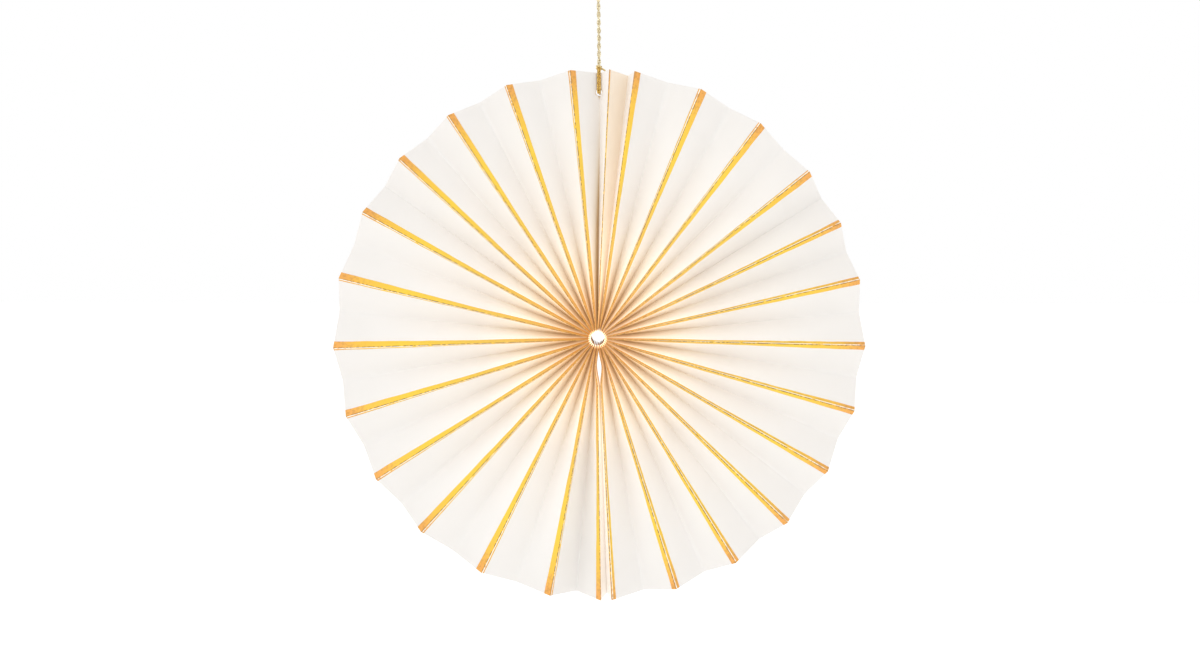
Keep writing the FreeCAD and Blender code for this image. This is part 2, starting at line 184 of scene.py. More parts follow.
def gold_yarn(name, light, dark):
    material = bpy.data.materials.new(name)
    material.use_nodes = True
    nodes, links = material.node_tree.nodes, material.node_tree.links
    surface = nodes["Principled BSDF"]
    surface.inputs["Metallic"].default_value = 0.45
    surface.inputs["Roughness"].default_value = 0.42
    place = nodes.new("ShaderNodeTexCoord")
    glints = nodes.new("ShaderNodeTexNoise")
    glints.inputs["Scale"].default_value = 1400
    glints.inputs["Detail"].default_value = 3
    colours = nodes.new("ShaderNodeValToRGB")
    colours.color_ramp.elements[0].position = 0.36
    colours.color_ramp.elements[0].color = (*dark, 1)
    colours.color_ramp.elements[1].position = 0.6
    colours.color_ramp.elements[1].color = (*light, 1)
    fibres = nodes.new("ShaderNodeTexNoise")
    fibres.inputs["Scale"].default_value = 5200
    relief = nodes.new("ShaderNodeBump")
    relief.inputs["Strength"].default_value = 0.35
    relief.inputs["Distance"].default_value = 0.00005
    links.new(place.outputs["Object"], glints.inputs["Vector"])
    links.new(place.outputs["Object"], fibres.inputs["Vector"])
    links.new(glints.outputs["Fac"], colours.inputs["Fac"])
    links.new(colours.outputs["Color"], surface.inputs["Base Color"])
    links.new(fibres.outputs["Fac"], relief.inputs["Height"])
    links.new(relief.outputs["Normal"], surface.inputs["Normal"])
    return material


pale_yarn = gold_yarn("pale_gold_yarn", (0.95, 0.86, 0.60), (0.42, 0.32, 0.16))
cord_places = even_steps(smooth_line("cord_line", CORD_ROUTE), CORD_STEP)
hanging_cord = twisted_strands("twisted_cord", cord_places, STRAND / 2, 2, pale_yarn)
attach(hanging_cord, "root")
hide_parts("hanging_cord")

# The two knots: the lower one ties the cord's turn together just above the rim, and the upper one ties
# off the loop. Each is the same yarn drawn tight, so its strand crosses over and under itself.
KNOT_STRAND = 0.6 * MM
KNOT_STEPS, KNOT_PLIES, KNOT_PLY_TURNS = 120, 4, 5
KNOT_WIDEST, KNOT_TALLEST, KNOT_RISE = 2.74, 2.56, 0.44
KNOT_TIGHTNESS = 0.7


def tight_knot(name, node, turn, material):
    low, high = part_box(node)
    middle, half = (low + high) / 2, (high - low) / 2
    places = []
    for number in range(KNOT_STEPS):
        angle = 2 * math.pi * number / KNOT_STEPS
        wide = (math.sin(angle) + 2 * math.sin(2 * angle)) / KNOT_WIDEST
        tall = (math.cos(angle) - 2 * math.cos(2 * angle) + KNOT_RISE) / KNOT_TALLEST
        deep = -math.sin(3 * angle)
        form = Vector((deep, wide, tall)) if turn else Vector((wide, deep, tall))
        reach = Vector((half.x, half.y, half.z * KNOT_TIGHTNESS)) - Vector((1, 1, 1)) * KNOT_STRAND
        places.append(middle + Vector((form.x * reach.x, form.y * reach.y, form.z * reach.z)))
    bm = bmesh.new()
    rings = []
    for index, (place, tangent) in enumerate(zip(places, directions(places, closed=True))):
        outward = place - middle
        side = (outward - tangent * outward.dot(tangent)).normalized()
        ply_turn = -2 * math.pi * KNOT_PLY_TURNS * index / KNOT_STEPS
        over = tangent.cross(side)
        rings.append(add_ring(bm, place, side, over, KNOT_STRAND, KNOT_PLIES, ply_turn))
    for first, second in zip(rings, rings[1:] + rings[:1]):
        join_rings(bm, first, second)
    piece = mesh_object(name, bm, material)
    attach(piece, "root")
    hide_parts(node)
    return piece


knot_yarn = gold_yarn("knot_yarn", (0.90, 0.70, 0.32), (0.30, 0.19, 0.06))
rim_knot = tight_knot("rim_knot", "lower_knot", True, knot_yarn)
loop_knot = tight_knot("loop_knot", "upper_knot", False, pale_yarn)

# The hanging loop: one strand of the yarn that leaves the upper knot and comes back to it, so that the
# fan can be put over a hook or a pin.
LOOP_STRAND, LOOP_STEP = 1.1 * MM, 0.3 * MM
LOOP_BULGE, SHOULDER_DROP = 1.05, 0.8 * MM
loop_low, loop_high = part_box("hanging_loop")
loop_half = (loop_high.x - loop_low.x - LOOP_STRAND) / 2
loop_top = loop_high.z - LOOP_STRAND / 2
shoulder = loop_top - loop_half - SHOULDER_DROP
LOOP_ROUTE = [
    UPPER_KNOT,
    Vector((UPPER_KNOT.x - loop_half, UPPER_KNOT.y, shoulder)),
    Vector((UPPER_KNOT.x - loop_half * LOOP_BULGE, UPPER_KNOT.y, loop_top)),
    Vector((UPPER_KNOT.x + loop_half * LOOP_BULGE, UPPER_KNOT.y, loop_top)),
    Vector((UPPER_KNOT.x + loop_half, UPPER_KNOT.y, shoulder)),
    UPPER_KNOT,
]
loop_places = even_steps(smooth_line("loop_line", LOOP_ROUTE), LOOP_STEP)
hanging_loop = twisted_strands("loop_strand", loop_places, LOOP_STRAND / 2, 1, pale_yarn)
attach(hanging_loop, "root")
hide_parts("hanging_loop")

# The loose end beside the lower knot: one strand of the darker yarn, cut 4 mm long, that comes out of
# the knot and leans over to the right.
TAIL_STRAND, TAIL_STEP, TAIL_PLIES = 1.0 * MM, 0.15 * MM, 5
TAIL_ROUTE = [
    LOWER_KNOT,
    LOWER_KNOT + Vector((1.8, 0, -0.2)) * MM,
    LOWER_KNOT + Vector((3.6, 0, -1.7)) * MM,
]
tail_places = even_steps(smooth_line("tail_line", TAIL_ROUTE), TAIL_STEP)
knot_tail = twisted_strands("loose_end", tail_places, TAIL_STRAND / 2, 1, knot_yarn, plies=TAIL_PLIES)
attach(knot_tail, "root")
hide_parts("knot_tail")

# The cord's turn round the paper: from the knot down in front of the valley, through the punched hole
# and up behind. It is the same two-strand cord, pulled tight, coloured darker as painted shade in the
# pleat.
turn_low, turn_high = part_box("cord_hitch")
turn_x = (turn_low.x + turn_high.x) / 2
front_y, back_y = turn_low.y + CORD / 2, turn_high.y - CORD / 2
turn_bottom = turn_low.z + CORD / 2
LEG_LEAN, LEG_FOOT = 0.65 * MM, 3 * MM
SLOW_TURN = 80 * MM
TURN_ROUTE = [
    Vector((turn_x, front_y + LEG_LEAN, LOWER_KNOT.z)),
    Vector((turn_x, front_y, turn_bottom + LEG_FOOT)),
    Vector((turn_x, front_y, turn_bottom)),
    Vector((turn_x, back_y, turn_bottom)),
    Vector((turn_x, back_y, turn_bottom + LEG_FOOT)),
    Vector((turn_x, back_y - LEG_LEAN, LOWER_KNOT.z)),
]
shaded_turn_yarn = gold_yarn("shaded_turn_yarn", (0.86, 0.56, 0.13), (0.28, 0.15, 0.03))
turn_places = even_steps(smooth_line("turn_line", TURN_ROUTE), CORD_STEP)
cord_turn = twisted_strands("cord_turn", turn_places, STRAND / 2, 2, shaded_turn_yarn, cord_turn=SLOW_TURN)
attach(cord_turn, "root")
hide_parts("cord_hitch")

# The fan itself: one long strip of warm white paper in 54 panels. Its inner edge is gathered round the
# hub, each fold runs out to the rim, and a panel keeps its width, so it lies flatter towards the rim.
RIM, HUB, PAPER = 150 * MM, 3.9 * MM, 0.2 * MM
FLATTEST_TILT, FRONT_SHARE = 14.5, 0.58
SEAM_BEARING, SEAM_PITCH = 178.15, 2.5
LAP_PITCH, TUCK_PITCH = 8.3, 5.4
LAP_VALLEY_SHARE, TUCK_VALLEY_SHARE = 0.75, 0.74
TAPE_WIDTH, TAPE_THICKNESS, TAPE_START = 6 * MM, 0.15 * MM, 28 * MM
SLIT_START, SLIT_WIDTH = 6 * MM, 2.4 * MM
AFTER_SEAM_PITCH, LOWER_LEFT_PITCH, LEFT_PITCH = 11.1, 15.9, 15.2
UPPER_RIGHT_PITCH, RIGHT_PITCH, LOWER_RIGHT_PITCH = 14.6, 12.8, 14.23
CLOSING_PLEATS = 4
before_tuck = [AFTER_SEAM_PITCH] + [LOWER_LEFT_PITCH] * 2 + [LEFT_PITCH] * 5
after_tuck = [UPPER_RIGHT_PITCH] * 3 + [RIGHT_PITCH] * 2 + [LOWER_RIGHT_PITCH] * 7
left_over = 360 - sum(before_tuck) - sum(after_tuck) - LAP_PITCH - TUCK_PITCH - SEAM_PITCH
before_tuck += [left_over / CLOSING_PLEATS] * CLOSING_PLEATS
pitches = before_tuck + [LAP_PITCH, TUCK_PITCH] + after_tuck
lap_number, tuck_ridge = len(before_tuck), len(before_tuck) + 1
ridge_count = len(pitches) + 1
ridge_bearings = [SEAM_BEARING + SEAM_PITCH / 2 + sum(pitches[:k]) for k in range(ridge_count)]
hub_step = 360 / ridge_count
panel_width = 2 * RIM * math.sin(math.radians(max(pitches)) / 4) / math.cos(math.radians(FLATTEST_TILT))
BACK = Vector((0, 1, 0))


def on_circle(radius, bearing):
    angle = math.radians(bearing)
    return Vector((radius * math.sin(angle), 0, radius * math.cos(angle)))


def clockwise(bearing):
    angle = math.radians(bearing)
    return Vector((math.cos(angle), 0, -math.sin(angle)))


def plan_place(hub_bearing, rim_bearing, station):
    hub_point = on_circle(HUB, hub_bearing)
    return hub_point + (on_circle(RIM, rim_bearing) - hub_point) * (station - HUB) / (RIM - HUB)


def slit_opening(station):
    if not SLIT_START < station < TAPE_START:
        return 0.0
    share = (station - SLIT_START) / (TAPE_START - SLIT_START)
    return SLIT_WIDTH / 2 * math.sin(math.pi * share) ** 2


def ridge_plan(number, station):
    return plan_place(SEAM_BEARING + hub_step * (number + 0.5), ridge_bearings[number], station)


def ridge_place(number, station):
    half_chord = 2 * station * math.sin(math.pi / ridge_count / 2)
    place = ridge_plan(number, station) - BACK * FRONT_SHARE * math.sqrt(panel_width**2 - half_chord**2)
    if number == tuck_ridge:
        across = (ridge_plan(number + 1, station) - ridge_plan(number, station)).length
        height = math.sqrt(panel_width**2 - (across / 2) ** 2)
        place += BACK * (TUCK_VALLEY_SHARE - 0.5) * across**2 / height
    if number == 0:
        place += clockwise(SEAM_BEARING) * slit_opening(station)
    if number == ridge_count - 1:
        place -= clockwise(SEAM_BEARING) * slit_opening(station)
    return place


def valley_place(number, station):
    left, right = ridge_place(number, station), ridge_place(number + 1, station)
    across = right - left
    if number == lap_number:
        reach = across * LAP_VALLEY_SHARE
        return left + reach + BACK * math.sqrt(panel_width**2 - reach.length**2)
    along = across.normalized()
    backward = (BACK - along * BACK.dot(along)).normalized()
    return left + across / 2 + backward * math.sqrt(panel_width**2 - (across.length / 2) ** 2)


def seam_places(ridge_number, side, station):
    ridge = ridge_place(ridge_number, station)
    seam = plan_place(SEAM_BEARING, SEAM_BEARING, station)
    seam += clockwise(SEAM_BEARING) * side * ((PAPER + TAPE_THICKNESS) / 2 + slit_opening(station))
    sideways = Vector((seam.x - ridge.x, 0, seam.z - ridge.z))
    bend = ridge + sideways + BACK * math.sqrt((panel_width - TAPE_WIDTH) ** 2 - sideways.length**2)
    return bend, bend + BACK * TAPE_WIDTH


def section_places(station):
    bend, edge = seam_places(0, 1, station)
    places = [edge, bend]
    for number in range(ridge_count - 1):
        places += [ridge_place(number, station), valley_place(number, station)]
    places.append(ridge_place(ridge_count - 1, station))
    bend, edge = seam_places(ridge_count - 1, -1, station)
    return places + [bend, edge]


def section_corners(places):
    half, last = PAPER / 2, len(places) - 1
    front, back = [], []
    for index, place in enumerate(places):
        outward = Vector((place.x, 0, place.z)).normalized()
        before_index, after_index = max(index - 1, 0), min(index, last - 1)
        before = (places[before_index + 1] - places[before_index]).cross(outward).normalized()
        after = (places[after_index + 1] - places[after_index]).cross(outward).normalized()
        inner = (before + after) / (1 + before.dot(after)) * half
        is_fold = 2 <= index <= last - 2
        is_ridge, is_valley = is_fold and index % 2 == 0, is_fold and index % 2 == 1
        front.append([place + before * half, place + after * half] if is_ridge else [place + inner])
        back.append([place - before * half, place - after * half] if is_valley else [place - inner])
    return front, back


STATION_COUNT, STATION_CROWDING = 64, 1.12
SOFT_REACH, SOFT_MOST = 2.2 * MM, 0.45 * MM
WAVE, WAVE_LENGTH, WAVE_FULL_FROM, PANEL_SEED = 0.32 * MM, 34 * MM, 60 * MM, 3.7
SHARP_VALLEYS = [(306.6, 6.0), (56.8, 6.0)]
HUB_LEAN, HUB_LEAN_END, HUB_LEAN_DEPTH = 1.3 * MM, 13 * MM, 0.25
station_shares = [(k / STATION_COUNT) ** STATION_CROWDING for k in range(STATION_COUNT + 1)]
stations = [HUB + (RIM - HUB) * share for share in station_shares]
sections = []
for station in stations:
    fold_places = section_places(station)
    front_corners, back_corners = section_corners(fold_places)
    sections.append((fold_places, front_corners, back_corners))
last_fold = len(sections[0][0]) - 1
rim_bearing_of = [
    math.degrees(math.atan2(place.x, place.z)) % 360 for place in sections[-1][0]
]


def is_valley_fold(index):
    return 3 <= index <= last_fold - 3 and index % 2 == 1


def softness(index, station_number):
    if not is_valley_fold(index):
        return 0.0
    if any(abs(rim_bearing_of[index] - bearing) < width / 2 for bearing, width in SHARP_VALLEYS):
        return 0.0
    places = sections[station_number][0]
    slope_run = places[index] - places[index - 1]
    slope = abs(slope_run.y) / max(math.hypot(slope_run.x, slope_run.z), 1e-6)
    return min(SOFT_REACH * slope / 2, SOFT_MOST)


def panel_shift(panel, share, station_number):
    places = sections[station_number][0]
    first, second = places[panel], places[panel + 1]
    run = second - first
    middle = first + run * share
    outward = Vector((middle.x, 0, middle.z)).normalized()
    facing = run.cross(outward).normalized()
    spread = math.sin(math.pi * share) * min(1, stations[station_number] / WAVE_FULL_FROM)
    wave = noise.noise(middle / WAVE_LENGTH + Vector((0, panel * PANEL_SEED, 0)))
    shift = facing * wave * WAVE * spread
    length = run.length
    for index, gone in ((panel, share * length), (panel + 1, (1 - share) * length)):
        if gone < SOFT_REACH:
            shift -= BACK * softness(index, station_number) * (1 - gone / SOFT_REACH) ** 2
    return shift


def valley_share(panel, share):
    towards_valley = panel % 2 == 0
    return share if towards_valley else 1 - share


def hub_lean(panel, share, station_number):
    near_hub = max(0, 1 - (stations[station_number] - HUB) / HUB_LEAN_END)
    deep = max(0, (valley_share(panel, share) - HUB_LEAN_DEPTH) / (1 - HUB_LEAN_DEPTH))
    return Vector((0, 0, HUB_LEAN * near_hub * deep))


def front_point(panel, share, station_number):
    front = sections[station_number][1]
    flat = front[panel][-1].lerp(front[panel + 1][0], share)
    return flat + panel_shift(panel, share, station_number) + hub_lean(panel, share, station_number)


def back_point(panel, share, station_number):
    back = sections[station_number][2]
    flat = back[panel][-1].lerp(back[panel + 1][0], share)
    return flat + panel_shift(panel, share, station_number) + hub_lean(panel, share, station_number)


ACROSS = [0, 0.025, 0.06, 0.1, 0.2, 0.4, 0.6, 0.8, 0.9, 0.94, 0.975, 1]


# Painted light: the paper emits a glow of its own that stands in for light passing from panel to panel;
# it keeps the deep pleats warm, most at the hub. A panel that faces up and to the left gets painted
# light and is creamier, a ridge has a painted highlight and is paler, and the depth of a pleat has
# painted shade and is browner.
GLOW = [(3.9, 0.85), (5, 0.36), (12, 0.38), (20, 0.37), (32, 0.32), (45, 0.25), (70, 0.12), (150, 0)]
WALL_DEPTH, WALL_GLOW, WALL_SHADE_TINT = 0.25, 0.06, 4.65 * MM
VALLEY_LOSS, VALLEY_LOSS_POWER, VALLEY_LOSS_END = 0.8, 1.5, 80
RIDGE_GAIN, RIDGE_GAIN_END, RIDGE_PAINTED_HIGHLIGHT, RIDGE_HIGHLIGHT_FROM = 0.9, 70, 28 * MM, 6 * MM
LEAST_GLOW, LIT_SIDE_GAIN, LEAST_LIT_SIDE, LIT_SIDE_POWER, LIGHT_BEARING = 0.7, 0.9, 0.1, 0.6, 335
LAP_LOSS, LAP_PAINTED_SHADE, LAP_SHADE_POWER = 0.6, 80 * MM, 3
VALLEY_PAINTED_SHADE, VALLEY_SHADE_POWER, SHADE_FULL_FROM = 16 * MM, 6, 60 * MM
# Painted light on tight panels: the seam's two end panels and the panels from the lap's valley to the
# tuck glow by themselves, and the tuck's panel is tinted tan as painted shade. The back of the sheet has
# only a faint even glow and is paler, with little of the hub's painted shade.
TUCK_PAINTED_SHADE, TUCK_GLOW, TIGHT_GLOW_FROM = 37 * MM, 0.13, 60
BACK_GLOW, BACK_IS_PALER = 0.02, 40 * MM
lap_panel, tuck_panel = 2 * lap_number + 2, 2 * tuck_ridge + 2
TIGHT_PANEL_GLOW = {1: 0.16, last_fold - 2: 0.26}
for panel in range(lap_panel + 1, tuck_panel + 2):
    TIGHT_PANEL_GLOW[panel] = TUCK_GLOW


def ridge_share(panel, share):
    return max(0, 1 - 2 * valley_share(panel, share))


# The strength of the painted glow at a point. It fades from the hub to the rim, with painted shade
# towards the valleys and on the lap's panels, painted light on panels that face up and to the left, and
# a painted highlight beside the ridges. The hole's inner wall keeps only a faint glow, as painted shade.
def glow_at(station, panel, share, is_front):
    radius = station / MM
    spans = [span for span in zip(GLOW, GLOW[1:]) if span[0][0] <= radius <= span[1][0]]
    (near, near_glow), (far, far_glow) = spans[0] if spans else (GLOW[0], GLOW[1])
    glow = near_glow + (far_glow - near_glow) * (radius - near) / (far - near)
    depth = valley_share(panel, share)
    if station == HUB and depth > WALL_DEPTH:
        return WALL_GLOW
    glow *= 1 - VALLEY_LOSS * depth**VALLEY_LOSS_POWER * max(0, 1 - radius / VALLEY_LOSS_END)
    glow *= LEAST_GLOW + LIT_SIDE_GAIN * painted_light_at(panel, share)
    glow *= 1 + RIDGE_GAIN * ridge_share(panel, share) * max(0, 1 - radius / RIDGE_GAIN_END)
    if panel in (lap_panel, lap_panel + 1):
        glow *= 1 - LAP_LOSS * depth
    glow += TIGHT_PANEL_GLOW.get(panel, 0.0) * min(1, radius / TIGHT_GLOW_FROM)
    return glow if is_front else BACK_GLOW


# Painted light by facing: highest beside the ridge of a panel that faces up and to the left, towards
# LIGHT_BEARING, and falling to nothing in the valley.
def painted_light_at(panel, share):
    bearing = (rim_bearing_of[panel] + rim_bearing_of[panel + 1]) / 2
    facing = bearing + (90 if panel % 2 == 0 else -90)
    towards_light = 0.5 + 0.5 * math.cos(math.radians(facing - LIGHT_BEARING))
    painted_lit_side = LEAST_LIT_SIDE + (1 - LEAST_LIT_SIDE) * towards_light
    return painted_lit_side * (1 - valley_share(panel, share)) ** LIT_SIDE_POWER


# Where the paper takes its colour on the tint ramp: painted shade moves the valleys, the lap's valley,
# the tuck's panel and the hole's inner wall towards the brown hub end, and a painted highlight moves the
# paper beside a ridge towards the paler end. The back is looked up further out, so it is paler.
def tint_radius(station, panel, share, is_front):
    depth = valley_share(panel, share)
    if station == HUB:
        return WALL_SHADE_TINT if depth > WALL_DEPTH else HUB
    if not is_front:
        return station + BACK_IS_PALER
    if panel == tuck_panel:
        return min(station, TUCK_PAINTED_SHADE)
    shade_reach = VALLEY_PAINTED_SHADE * depth**VALLEY_SHADE_POWER
    if panel == lap_panel:
        shade_reach = LAP_PAINTED_SHADE * depth**LAP_SHADE_POWER
    shade_reach *= min(1, station / SHADE_FULL_FROM)
    highlight_reach = RIDGE_PAINTED_HIGHLIGHT * ridge_share(panel, share) * min(1, (station - HUB) / RIDGE_HIGHLIGHT_FROM)
    return max(station + highlight_reach - shade_reach, HUB + MM)


def pleated_sheet():
    vertices, from_hub, glow, painted_lit_side = [], [], [], []
    rows = []
    for number, station in enumerate(stations):
        front_row, back_row = [], []
        for panel in range(last_fold):
            for share in ACROSS:
                for row, point, corners, is_front in (
                    (front_row, front_point, sections[number][1], True),
                    (back_row, back_point, sections[number][2], False),
                ):
                    if share == 0 and panel and len(corners[panel]) == 1:
                        row.append(row[-1])
                        continue
                    row.append(len(vertices))
                    vertices.append(point(panel, share, number))
                    from_hub.append(tint_radius(station, panel, share, is_front))
                    glow.append(glow_at(station, panel, share, is_front))
                    painted_lit_side.append(painted_light_at(panel, share))
        rows.append((front_row, back_row))
    faces = []
    for (front, back), (next_front, next_back) in zip(rows, rows[1:]):
        for k in range(len(front) - 1):
            if front[k] != front[k + 1]:
                faces.append((front[k], front[k + 1], next_front[k + 1], next_front[k]))
            if back[k] != back[k + 1]:
                faces.append((back[k + 1], back[k], next_back[k], next_back[k + 1]))
        faces.append((back[0], front[0], next_front[0], next_back[0]))
        faces.append((front[-1], back[-1], next_back[-1], next_front[-1]))
    for (front, back), turned in ((rows[0], False), (rows[-1], True)):
        for k in range(len(front) - 1):
            corners = [front[k + 1], front[k], back[k], back[k + 1]]
            corners = [c for n, c in enumerate(corners) if c not in corners[:n]]
            if len(corners) > 2:
                faces.append(tuple(reversed(corners)) if turned else tuple(corners))
    return vertices, faces, from_hub, glow, painted_lit_side


def add_attribute(mesh, name, values):
    layer = mesh.attributes.new(name, "FLOAT", "POINT")
    layer.data.foreach_set("value", values)


def tint_ramp(nodes, stops):
    ramp = nodes.new("ShaderNodeValToRGB")
    first, *between, last = stops
    ramp.color_ramp.elements[0].position = first[0] / 150
    ramp.color_ramp.elements[0].color = (*first[1], 1)
    ramp.color_ramp.elements[1].position = last[0] / 150
    ramp.color_ramp.elements[1].color = (*last[1], 1)
    for radius, colour in between:
        element = ramp.color_ramp.elements.new(radius / 150)
        element.color = (*colour, 1)
    return ramp


def radius_share(nodes, links):
    radius = nodes.new("ShaderNodeAttribute")
    radius.attribute_name = "from_hub"
    share = nodes.new("ShaderNodeMapRange")
    share.inputs["From Max"].default_value = RIM
    links.new(radius.outputs["Fac"], share.inputs["Value"])
    return share


# The paper's colour from hub to rim. It browns towards the hub as painted shade of the deep pleats; the
# first stop is the pale cut edge at the hub.
PAPER_TINTS_HUB_SHADE = [
    (4, (0.92, 0.88, 0.82)),
    (5, (0.64, 0.46, 0.24)),
    (18, (0.76, 0.62, 0.43)),
    (30, (0.88, 0.79, 0.66)),
    (45, (0.95, 0.90, 0.82)),
    (60, (0.96, 0.925, 0.88)),
    (80, (0.95, 0.925, 0.895)),
    (120, (0.935, 0.92, 0.90)),
    (150, (0.925, 0.905, 0.88)),
]
# Colours of the painted glow from hub to rim: orange in the depth of a pleat, creamier on the side that
# gets painted light.
DEEP_GLOW = [
    (4, (1.0, 0.90, 0.80)),
    (5, (1.0, 0.44, 0.10)),
    (12, (1.0, 0.50, 0.16)),
    (30, (1.0, 0.68, 0.42)),
    (50, (1.0, 0.80, 0.64)),
    (90, (1.0, 0.82, 0.66)),
    (150, (1.0, 0.84, 0.70)),
]
LIT_SIDE_GLOW = [
    (4, (1.0, 0.94, 0.88)),
    (5, (1.0, 0.86, 0.60)),
    (12, (1.0, 0.93, 0.74)),
    (30, (1.0, 0.95, 0.86)),
    (50, (1.0, 0.95, 0.88)),
    (90, (1.0, 0.95, 0.90)),
    (150, (1.0, 0.95, 0.90)),
]


# The paper material: its base colour comes from the tint ramp with its painted shade, and it emits the
# painted glow, whose colour runs from the deep colour to the lit-side colour.
def paper_with_painted_light():
    material = bpy.data.materials.new("warm_white_paper_painted_light")
    material.use_nodes = True
    nodes, links = material.node_tree.nodes, material.node_tree.links
    surface = nodes["Principled BSDF"]
    surface.inputs["Roughness"].default_value = 0.8
    surface.inputs["Specular IOR Level"].default_value = 0.2
    share = radius_share(nodes, links)
    tints = tint_ramp(nodes, PAPER_TINTS_HUB_SHADE)
    deep_glow, lit_side_glow = tint_ramp(nodes, DEEP_GLOW), tint_ramp(nodes, LIT_SIDE_GLOW)
    painted_lit_side = nodes.new("ShaderNodeAttribute")
    painted_lit_side.attribute_name = "painted_lit_side"
    glow_tint = nodes.new("ShaderNodeMix")
    glow_tint.data_type = "RGBA"
    strength = nodes.new("ShaderNodeAttribute")
    strength.attribute_name = "glow"
    place = nodes.new("ShaderNodeTexCoord")
    mottle = nodes.new("ShaderNodeTexNoise")
    mottle.inputs["Scale"].default_value = 60
    mottle.inputs["Detail"].default_value = 4
    dimming = nodes.new("ShaderNodeMapRange")
    dimming.inputs["To Min"].default_value = 0.985
    dimming.inputs["To Max"].default_value = 1.01
    shaded = nodes.new("ShaderNodeMix")
    shaded.data_type = "RGBA"
    shaded.blend_type = "MULTIPLY"
    shaded.inputs["Factor"].default_value = 1
    fibres = nodes.new("ShaderNodeTexNoise")
    fibres.inputs["Scale"].default_value = 900
    fibres.inputs["Detail"].default_value = 5
    relief = nodes.new("ShaderNodeBump")
    relief.inputs["Strength"].default_value = 0.12
    relief.inputs["Distance"].default_value = 0.00004
    seen_through = nodes.new("ShaderNodeBsdfTranslucent")
    thin_sheet = nodes.new("ShaderNodeMixShader")
    thin_sheet.inputs["Fac"].default_value = 0.25
    links.new(share.outputs["Result"], tints.inputs["Fac"])
    links.new(share.outputs["Result"], deep_glow.inputs["Fac"])
    links.new(share.outputs["Result"], lit_side_glow.inputs["Fac"])
    links.new(deep_glow.outputs["Color"], glow_tint.inputs["A"])
    links.new(lit_side_glow.outputs["Color"], glow_tint.inputs["B"])
    links.new(painted_lit_side.outputs["Fac"], glow_tint.inputs["Factor"])
    links.new(place.outputs["Object"], mottle.inputs["Vector"])
    links.new(mottle.outputs["Fac"], dimming.inputs["Value"])
    links.new(tints.outputs["Color"], shaded.inputs["A"])
    links.new(dimming.outputs["Result"], shaded.inputs["B"])
    links.new(shaded.outputs["Result"], surface.inputs["Base Color"])
    links.new(shaded.outputs["Result"], seen_through.inputs["Color"])
    links.new(glow_tint.outputs["Result"], surface.inputs["Emission Color"])
    links.new(strength.outputs["Fac"], surface.inputs["Emission Strength"])
    links.new(place.outputs["Object"], fibres.inputs["Vector"])
    links.new(fibres.outputs["Fac"], relief.inputs["Height"])
    links.new(relief.outputs["Normal"], surface.inputs["Normal"])
    links.new(surface.outputs["BSDF"], thin_sheet.inputs[1])
    links.new(seen_through.outputs["BSDF"], thin_sheet.inputs[2])
    links.new(thin_sheet.outputs["Shader"], nodes["Material Output"].inputs["Surface"])
    return material


vertices, faces, from_hub, glow, painted_lit_side = pleated_sheet()
paper_mesh = bpy.data.meshes.new("pleated_sheet")
paper_mesh.from_pydata(vertices, [], faces)
add_attribute(paper_mesh, "from_hub", from_hub)
add_attribute(paper_mesh, "glow", glow)
add_attribute(paper_mesh, "painted_lit_side", painted_lit_side)
paper_mesh.materials.append(paper_with_painted_light())
pleated_paper = bpy.data.objects.new("folded_fan", paper_mesh)
bpy.context.scene.collection.objects.link(pleated_paper)

# The hole for the cord is punched through the pleat's two panels, 11 mm below the rim. It has a plain
# cut edge with no eyelet.
HOLE_INSET, HOLE_RADIUS, HOLE_CORNERS = 11 * MM, 1.85 * MM, 32
PAPER_SHARP_ANGLE = 48
hole_fold = valley_place(lap_number, RIM - HOLE_INSET)
bpy.ops.mesh.primitive_cylinder_add(
    vertices=HOLE_CORNERS,
    radius=HOLE_RADIUS,
    depth=2 * panel_width,
    location=(LOWER_KNOT.x, hole_fold.y, hole_fold.z),
    rotation=(math.pi / 2, 0, 0),
)
punch = bpy.context.object
punched = pleated_paper.modifiers.new("punch", "BOOLEAN")
punched.operation = "DIFFERENCE"
punched.solver = "EXACT"
punched.object = punch
bpy.context.view_layer.update()
view = bpy.context.evaluated_depsgraph_get()
punched_mesh = bpy.data.meshes.new_from_object(pleated_paper.evaluated_get(view))
pleated_paper.modifiers.clear()
pleated_paper.data = punched_mesh
bpy.data.objects.remove(punch)
for face in punched_mesh.polygons:
    face.use_smooth = True
punched_mesh.set_sharp_from_angle(angle=math.radians(PAPER_SHARP_ANGLE))
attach(pleated_paper, "root")
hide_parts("pleated_paper")

# The gold bands: foil over each front fold, 5.2 mm wide, lying further on the clockwise side of the fold
# on most pleats. Its edges wander a little, and its crease is rubbed brown along the fold. Near the hub
# the foil has painted shade, darker and more orange, and a painted glow.
BAND, BAND_LAYER, BAND_HUB_INSET, TUCK_BAND = 5.2 * MM, 0.05 * MM, 0.8 * MM, 1.6 * MM
CREASE_OFFSET, CREASE_MIDDLE, FIRST_MIDDLE_RIDGE = 0.7, 0.5, 18
EDGE_WANDER, WANDER_LENGTH, TUCK_WANDER = 0.24 * MM, 9 * MM, 0.4
FINE_WANDER, FINE_LENGTH = 0.3, 2.2 * MM
BAND_SEED, SIDE_SEED = 5.3, 7.1
HUB_SPREAD, HUB_SPREAD_END = 1.3, 70 * MM
BAND_STEPS = (1, 0.55, 0.12, 0)
FOIL_SHARP_ANGLE = 40


def band_sides(number):
    if number == tuck_ridge:
        return TUCK_BAND / 2, TUCK_BAND / 2
    share = CREASE_MIDDLE if number >= FIRST_MIDDLE_RIDGE else CREASE_OFFSET
    return BAND * (1 - share), BAND * share


